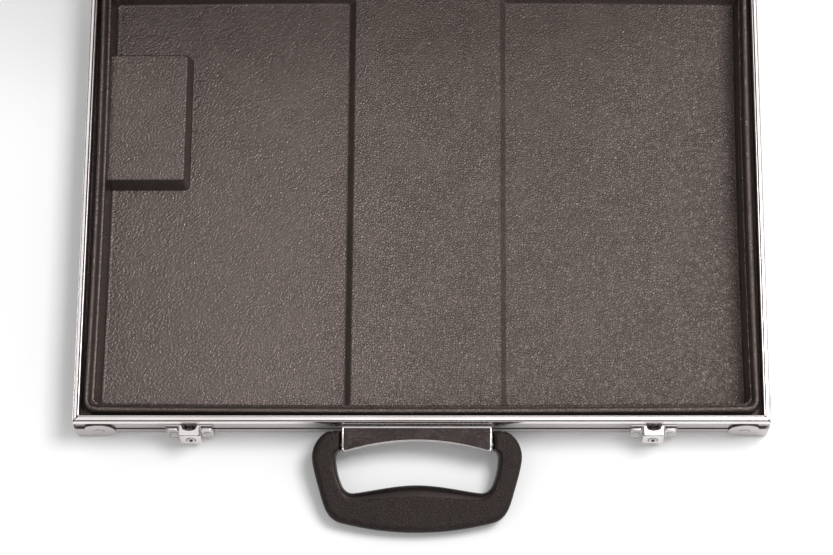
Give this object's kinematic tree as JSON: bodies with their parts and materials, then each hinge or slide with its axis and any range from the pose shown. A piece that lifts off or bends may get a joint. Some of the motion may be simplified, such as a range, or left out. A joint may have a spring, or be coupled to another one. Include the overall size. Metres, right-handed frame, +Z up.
{
  "type": "hard knife case",
  "caption": "Aluminium-framed hard case for kitchen knives, with a hinged lid, key latches, a swinging handle and a moulded tray with compartments.",
  "frame": {"origin": "centre of the base's underside, on the surface the open case lies on", "axes": "+X to the right as seen from the handle side, +Y from the handle side to the hinges, +Z up through the tray"},
  "size_m": [0.4536, 0.4246, 0.3609],
  "materials": {
    "aluminium_extrusion": "polished extrusion",
    "nickel_plate": "satin nickel plate",
    "chrome_plate": "bright chrome plate",
    "zinc_steel": "zinc plated",
    "liner_plastic": "leather-grained, dark brown-black",
    "panel_laminate": "fine-grained black laminate",
    "grip_plastic": "pebbled black",
    "foot_rubber": "matte black"
  },
  "bodies": {
    "lid": {"lid_rail_front": "aluminium_extrusion", "lid_rail_left": "aluminium_extrusion", "lid_rail_back": "aluminium_extrusion", "lid_rail_right": "aluminium_extrusion", "lid_corner_plate_front_right": "nickel_plate", "lid_corner_brace_front_right": "zinc_steel", "lid_corner_plate_front_left": "nickel_plate", "lid_corner_brace_front_left": "zinc_steel", "lid_corner_plate_back_left": "nickel_plate", "lid_corner_brace_back_left": "zinc_steel", "lid_corner_plate_back_right": "nickel_plate", "lid_corner_brace_back_right": "zinc_steel", "lid_panel": "panel_laminate", "lid_liner": "liner_plastic", "lid_hinge_strip": "zinc_steel", "lid_foot_left": "foot_rubber", "lid_foot_right": "foot_rubber", "catch_left": "chrome_plate", "catch_left_backing": "zinc_steel", "catch_right": "chrome_plate", "catch_right_backing": "zinc_steel", "hinge_left_lid_leaf": "nickel_plate", "hinge_right_lid_leaf": "nickel_plate"},
    "base": {"base_rail_front": "aluminium_extrusion", "base_rail_right": "aluminium_extrusion", "base_rail_back": "aluminium_extrusion", "base_rail_left": "aluminium_extrusion", "base_corner_plate_front_left": "nickel_plate", "base_corner_brace_front_left": "zinc_steel", "base_corner_plate_front_right": "nickel_plate", "base_corner_brace_front_right": "zinc_steel", "base_corner_plate_back_right": "nickel_plate", "base_corner_brace_back_right": "zinc_steel", "base_corner_plate_back_left": "nickel_plate", "base_corner_brace_back_left": "zinc_steel", "base_panel": "panel_laminate", "base_liner": "liner_plastic", "base_hinge_strip": "zinc_steel", "base_foot_right": "foot_rubber", "base_foot_left": "foot_rubber", "latch_left_housing": "chrome_plate", "latch_left_backing": "zinc_steel", "latch_left_lever_pin": "zinc_steel", "latch_right_housing": "chrome_plate", "latch_right_backing": "zinc_steel", "latch_right_lever_pin": "zinc_steel", "handle_bracket": "chrome_plate", "handle_backing": "zinc_steel", "handle_pin_left": "zinc_steel", "handle_pin_right": "zinc_steel", "hinge_left_base_leaf": "nickel_plate", "hinge_left_pin": "zinc_steel", "hinge_right_base_leaf": "nickel_plate", "hinge_right_pin": "zinc_steel"},
    "left_lever": {"latch_left_lever": "chrome_plate"},
    "left_key": {"latch_left_key_plug": "nickel_plate"},
    "right_lever": {"latch_right_lever": "chrome_plate"},
    "right_key": {"latch_right_key_plug": "nickel_plate"},
    "handle": {"handle_grip": "grip_plastic"}
  },
  "joints": [
    {"name": "lid_hinge", "type": "hinge", "parent": "base", "child": "lid", "pos_m": [0, 0.1632, 0.03415], "axis": [1, 0, 0], "range_deg": [0, 90]},
    {"name": "handle_swing", "type": "hinge", "parent": "base", "child": "handle", "pos_m": [-0.003, -0.171, 0.018], "axis": [-1, 0, 0], "range_deg": [-77, 102]},
    {"name": "left_latch_lever", "type": "hinge", "parent": "base", "child": "left_lever", "pos_m": [-0.15, -0.1632, 0.019], "axis": [1, 0, 0], "range_deg": [0, 14]},
    {"name": "left_key_turn", "type": "hinge", "parent": "left_lever", "child": "left_key", "pos_m": [-0.15, -0.16669, 0.01215], "axis": [0, -0.9848, 0.1736], "range_deg": [0, 90]},
    {"name": "right_latch_lever", "type": "hinge", "parent": "base", "child": "right_lever", "pos_m": [0.15, -0.1632, 0.019], "axis": [1, 0, 0], "range_deg": [0, 14]},
    {"name": "right_key_turn", "type": "hinge", "parent": "right_lever", "child": "right_key", "pos_m": [0.15, -0.16669, 0.01215], "axis": [0, -0.9848, 0.1736], "range_deg": [0, 90]}
  ]
}
